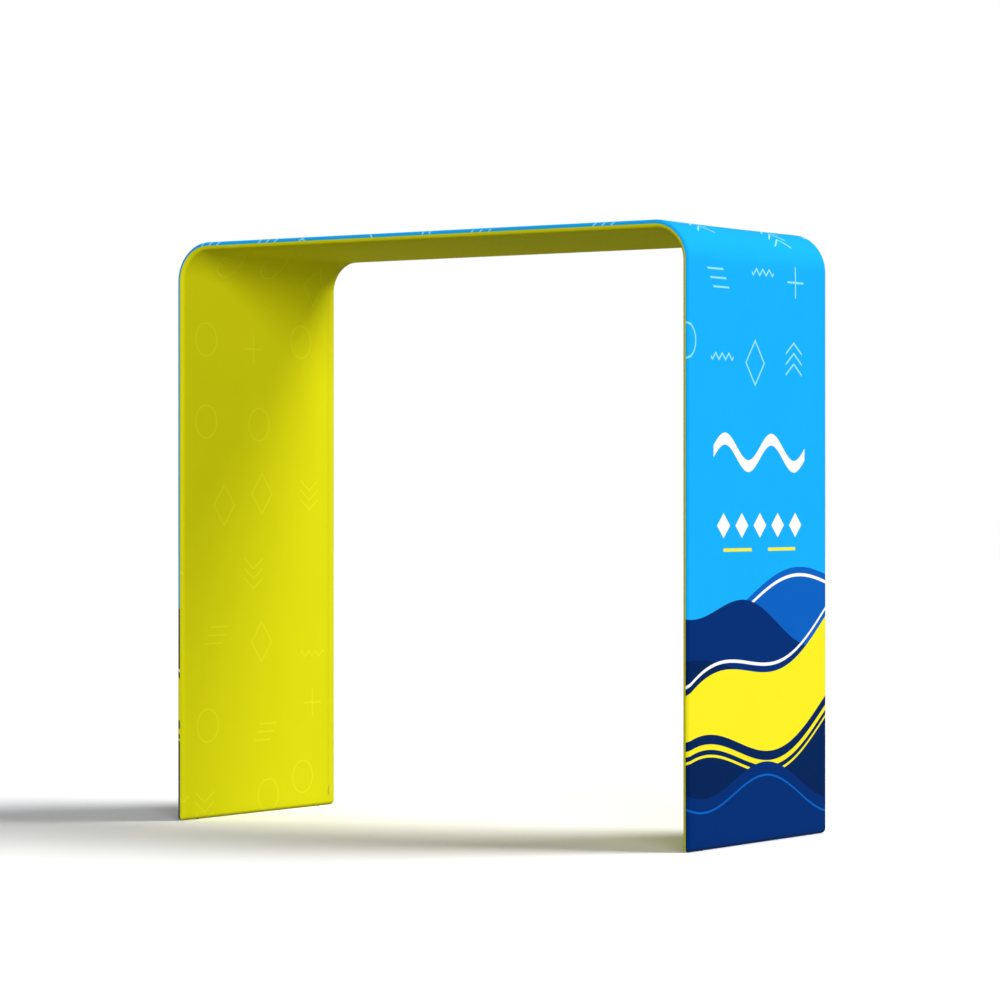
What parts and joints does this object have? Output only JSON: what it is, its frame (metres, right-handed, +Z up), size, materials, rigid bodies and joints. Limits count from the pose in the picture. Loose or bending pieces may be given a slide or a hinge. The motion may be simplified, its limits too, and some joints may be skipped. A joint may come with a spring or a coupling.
{
  "type": "fabric arch display",
  "caption": "Free-standing square portal of stretched printed cloth with rounded top corners, zipped over a knock-down frame of aluminium tubes.",
  "frame": {"origin": "on the floor, under the middle of the arch", "axes": "+X along the width, +Y along the depth from front to rear, +Z up"},
  "size_m": [2.4, 1, 2.3],
  "materials": {
    "hoop_aluminium": "satin anodised, drawn lines along the tube",
    "brace_aluminium": "satin anodised",
    "button_steel": "zinc plated",
    "spring_steel": "blued spring strip",
    "outer_cloth": "dye printed stretch knit, matt with a slight sheen",
    "inner_cloth": "dye printed stretch knit, matt with a slight sheen",
    "pad_rubber": "moulded, matt",
    "zip_tape": "woven polyester tape",
    "zip_coil": "nylon coil",
    "zip_metal": "nickel plated die casting"
  },
  "bodies": {
    "frame_and_cover": {"button_springs": "spring_steel", "floor_pads": "pad_rubber", "foot_frame_left": "hoop_aluminium", "foot_frame_right": "hoop_aluminium", "front_corner_left": "hoop_aluminium", "front_corner_right": "hoop_aluminium", "front_lower_leg_left": "hoop_aluminium", "front_lower_leg_right": "hoop_aluminium", "front_top_left": "hoop_aluminium", "front_top_right": "hoop_aluminium", "front_upper_leg_left": "hoop_aluminium", "front_upper_leg_right": "hoop_aluminium", "inner_panel": "inner_cloth", "leg_brace_left": "brace_aluminium", "leg_brace_right": "brace_aluminium", "outer_panel": "outer_cloth", "rear_corner_left": "hoop_aluminium", "rear_corner_right": "hoop_aluminium", "rear_lower_leg_left": "hoop_aluminium", "rear_lower_leg_right": "hoop_aluminium", "rear_top_left": "hoop_aluminium", "rear_top_right": "hoop_aluminium", "rear_upper_leg_left": "hoop_aluminium", "rear_upper_leg_right": "hoop_aluminium", "shoulder_brace_left": "brace_aluminium", "shoulder_brace_right": "brace_aluminium", "top_brace": "brace_aluminium", "zip_coils": "zip_coil", "zip_stops": "zip_metal", "zip_tapes": "zip_tape"},
    "front_foot_button_left": {"front_foot_button_left": "button_steel"},
    "front_leg_button_left": {"front_leg_button_left": "button_steel"},
    "front_corner_button_left": {"front_corner_button_left": "button_steel"},
    "front_top_button_left": {"front_top_button_left": "button_steel"},
    "front_foot_button_right": {"front_foot_button_right": "button_steel"},
    "front_leg_button_right": {"front_leg_button_right": "button_steel"},
    "front_corner_button_right": {"front_corner_button_right": "button_steel"},
    "front_top_button_right": {"front_top_button_right": "button_steel"},
    "front_middle_button": {"front_middle_button": "button_steel"},
    "rear_foot_button_left": {"rear_foot_button_left": "button_steel"},
    "rear_leg_button_left": {"rear_leg_button_left": "button_steel"},
    "rear_corner_button_left": {"rear_corner_button_left": "button_steel"},
    "rear_top_button_left": {"rear_top_button_left": "button_steel"},
    "rear_foot_button_right": {"rear_foot_button_right": "button_steel"},
    "rear_leg_button_right": {"rear_leg_button_right": "button_steel"},
    "rear_corner_button_right": {"rear_corner_button_right": "button_steel"},
    "rear_top_button_right": {"rear_top_button_right": "button_steel"},
    "rear_middle_button": {"rear_middle_button": "button_steel"},
    "leg_brace_left_button": {"leg_brace_left_button": "button_steel"},
    "shoulder_brace_left_button": {"shoulder_brace_left_button": "button_steel"},
    "leg_brace_right_button": {"leg_brace_right_button": "button_steel"},
    "shoulder_brace_right_button": {"shoulder_brace_right_button": "button_steel"},
    "top_brace_button": {"top_brace_button": "button_steel"},
    "zip_slider_left": {"zip_slider_left": "zip_metal"},
    "zip_pull_left": {"zip_pull_left": "zip_metal"},
    "zip_slider_right": {"zip_slider_right": "zip_metal"},
    "zip_pull_right": {"zip_pull_right": "zip_metal"}
  },
  "joints": [
    {"name": "press_front_foot_button_left", "type": "slide", "parent": "frame_and_cover", "child": "front_foot_button_left", "axis": [0, -1, 0], "range_m": [0, 0.0045], "stiffness_N_per_m": 2500, "springref_m": -0.0025, "deforming": ["button_springs"]},
    {"name": "press_front_leg_button_left", "type": "slide", "parent": "frame_and_cover", "child": "front_leg_button_left", "axis": [0, -1, 0], "range_m": [0, 0.0045], "stiffness_N_per_m": 2500, "springref_m": -0.0025, "deforming": ["button_springs"]},
    {"name": "press_front_corner_button_left", "type": "slide", "parent": "frame_and_cover", "child": "front_corner_button_left", "axis": [0, -1, 0], "range_m": [0, 0.0045], "stiffness_N_per_m": 2500, "springref_m": -0.0025, "deforming": ["button_springs"]},
    {"name": "press_front_top_button_left", "type": "slide", "parent": "frame_and_cover", "child": "front_top_button_left", "axis": [0, -1, 0], "range_m": [0, 0.0045], "stiffness_N_per_m": 2500, "springref_m": -0.0025, "deforming": ["button_springs"]},
    {"name": "press_front_foot_button_right", "type": "slide", "parent": "frame_and_cover", "child": "front_foot_button_right", "axis": [0, -1, 0], "range_m": [0, 0.0045], "stiffness_N_per_m": 2500, "springref_m": -0.0025, "deforming": ["button_springs"]},
    {"name": "press_front_leg_button_right", "type": "slide", "parent": "frame_and_cover", "child": "front_leg_button_right", "axis": [0, -1, 0], "range_m": [0, 0.0045], "stiffness_N_per_m": 2500, "springref_m": -0.0025, "deforming": ["button_springs"]},
    {"name": "press_front_corner_button_right", "type": "slide", "parent": "frame_and_cover", "child": "front_corner_button_right", "axis": [0, -1, 0], "range_m": [0, 0.0045], "stiffness_N_per_m": 2500, "springref_m": -0.0025, "deforming": ["button_springs"]},
    {"name": "press_front_top_button_right", "type": "slide", "parent": "frame_and_cover", "child": "front_top_button_right", "axis": [0, -1, 0], "range_m": [0, 0.0045], "stiffness_N_per_m": 2500, "springref_m": -0.0025, "deforming": ["button_springs"]},
    {"name": "press_front_middle_button", "type": "slide", "parent": "frame_and_cover", "child": "front_middle_button", "axis": [0, -1, 0], "range_m": [0, 0.0045], "stiffness_N_per_m": 2500, "springref_m": -0.0025, "deforming": ["button_springs"]},
    {"name": "press_rear_foot_button_left", "type": "slide", "parent": "frame_and_cover", "child": "rear_foot_button_left", "axis": [0, 1, 0], "range_m": [0, 0.0045], "stiffness_N_per_m": 2500, "springref_m": -0.0025, "deforming": ["button_springs"]},
    {"name": "press_rear_leg_button_left", "type": "slide", "parent": "frame_and_cover", "child": "rear_leg_button_left", "axis": [0, 1, 0], "range_m": [0, 0.0045], "stiffness_N_per_m": 2500, "springref_m": -0.0025, "deforming": ["button_springs"]},
    {"name": "press_rear_corner_button_left", "type": "slide", "parent": "frame_and_cover", "child": "rear_corner_button_left", "axis": [0, 1, 0], "range_m": [0, 0.0045], "stiffness_N_per_m": 2500, "springref_m": -0.0025, "deforming": ["button_springs"]},
    {"name": "press_rear_top_button_left", "type": "slide", "parent": "frame_and_cover", "child": "rear_top_button_left", "axis": [0, 1, 0], "range_m": [0, 0.0045], "stiffness_N_per_m": 2500, "springref_m": -0.0025, "deforming": ["button_springs"]},
    {"name": "press_rear_foot_button_right", "type": "slide", "parent": "frame_and_cover", "child": "rear_foot_button_right", "axis": [0, 1, 0], "range_m": [0, 0.0045], "stiffness_N_per_m": 2500, "springref_m": -0.0025, "deforming": ["button_springs"]},
    {"name": "press_rear_leg_button_right", "type": "slide", "parent": "frame_and_cover", "child": "rear_leg_button_right", "axis": [0, 1, 0], "range_m": [0, 0.0045], "stiffness_N_per_m": 2500, "springref_m": -0.0025, "deforming": ["button_springs"]},
    {"name": "press_rear_corner_button_right", "type": "slide", "parent": "frame_and_cover", "child": "rear_corner_button_right", "axis": [0, 1, 0], "range_m": [0, 0.0045], "stiffness_N_per_m": 2500, "springref_m": -0.0025, "deforming": ["button_springs"]},
    {"name": "press_rear_top_button_right", "type": "slide", "parent": "frame_and_cover", "child": "rear_top_button_right", "axis": [0, 1, 0], "range_m": [0, 0.0045], "stiffness_N_per_m": 2500, "springref_m": -0.0025, "deforming": ["button_springs"]},
    {"name": "press_rear_middle_button", "type": "slide", "parent": "frame_and_cover", "child": "rear_middle_button", "axis": [0, 1, 0], "range_m": [0, 0.0045], "stiffness_N_per_m": 2500, "springref_m": -0.0025, "deforming": ["button_springs"]},
    {"name": "press_leg_brace_left_button", "type": "slide", "parent": "frame_and_cover", "child": "leg_brace_left_button", "axis": [0, 0, 1], "range_m": [0, 0.0045], "stiffness_N_per_m": 1800, "springref_m": -0.0025, "deforming": ["button_springs"]},
    {"name": "press_shoulder_brace_left_button", "type": "slide", "parent": "frame_and_cover", "child": "shoulder_brace_left_button", "axis": [-1, 0, 0], "range_m": [0, 0.0045], "stiffness_N_per_m": 1800, "springref_m": -0.0025, "deforming": ["button_springs"]},
    {"name": "press_leg_brace_right_button", "type": "slide", "parent": "frame_and_cover", "child": "leg_brace_right_button", "axis": [0, 0, 1], "range_m": [0, 0.0045], "stiffness_N_per_m": 1800, "springref_m": -0.0025, "deforming": ["button_springs"]},
    {"name": "press_shoulder_brace_right_button", "type": "slide", "parent": "frame_and_cover", "child": "shoulder_brace_right_button", "axis": [1, 0, 0], "range_m": [0, 0.0045], "stiffness_N_per_m": 1800, "springref_m": -0.0025, "deforming": ["button_springs"]},
    {"name": "press_top_brace_button", "type": "slide", "parent": "frame_and_cover", "child": "top_brace_button", "axis": [1, 0, 0], "range_m": [0, 0.0045], "stiffness_N_per_m": 1800, "springref_m": -0.0025, "deforming": ["button_springs"]},
    {"name": "zip_travel_left", "type": "slide", "parent": "frame_and_cover", "child": "zip_slider_left", "axis": [0, 0, 1], "range_m": [0, 2.06], "deforming": ["zip_coils"]},
    {"name": "zip_pull_swing_left", "type": "hinge", "parent": "zip_slider_left", "child": "zip_pull_left", "pos_m": [-1.1671, 0.455, 0.077], "axis": [0, -1, 0], "range_deg": [0, 165]},
    {"name": "zip_travel_right", "type": "slide", "parent": "frame_and_cover", "child": "zip_slider_right", "axis": [0, 0, 1], "range_m": [0, 2.06], "deforming": ["zip_coils"]},
    {"name": "zip_pull_swing_right", "type": "hinge", "parent": "zip_slider_right", "child": "zip_pull_right", "pos_m": [1.1671, 0.455, 0.077], "axis": [0, 1, 0], "range_deg": [0, 165]}
  ]
}
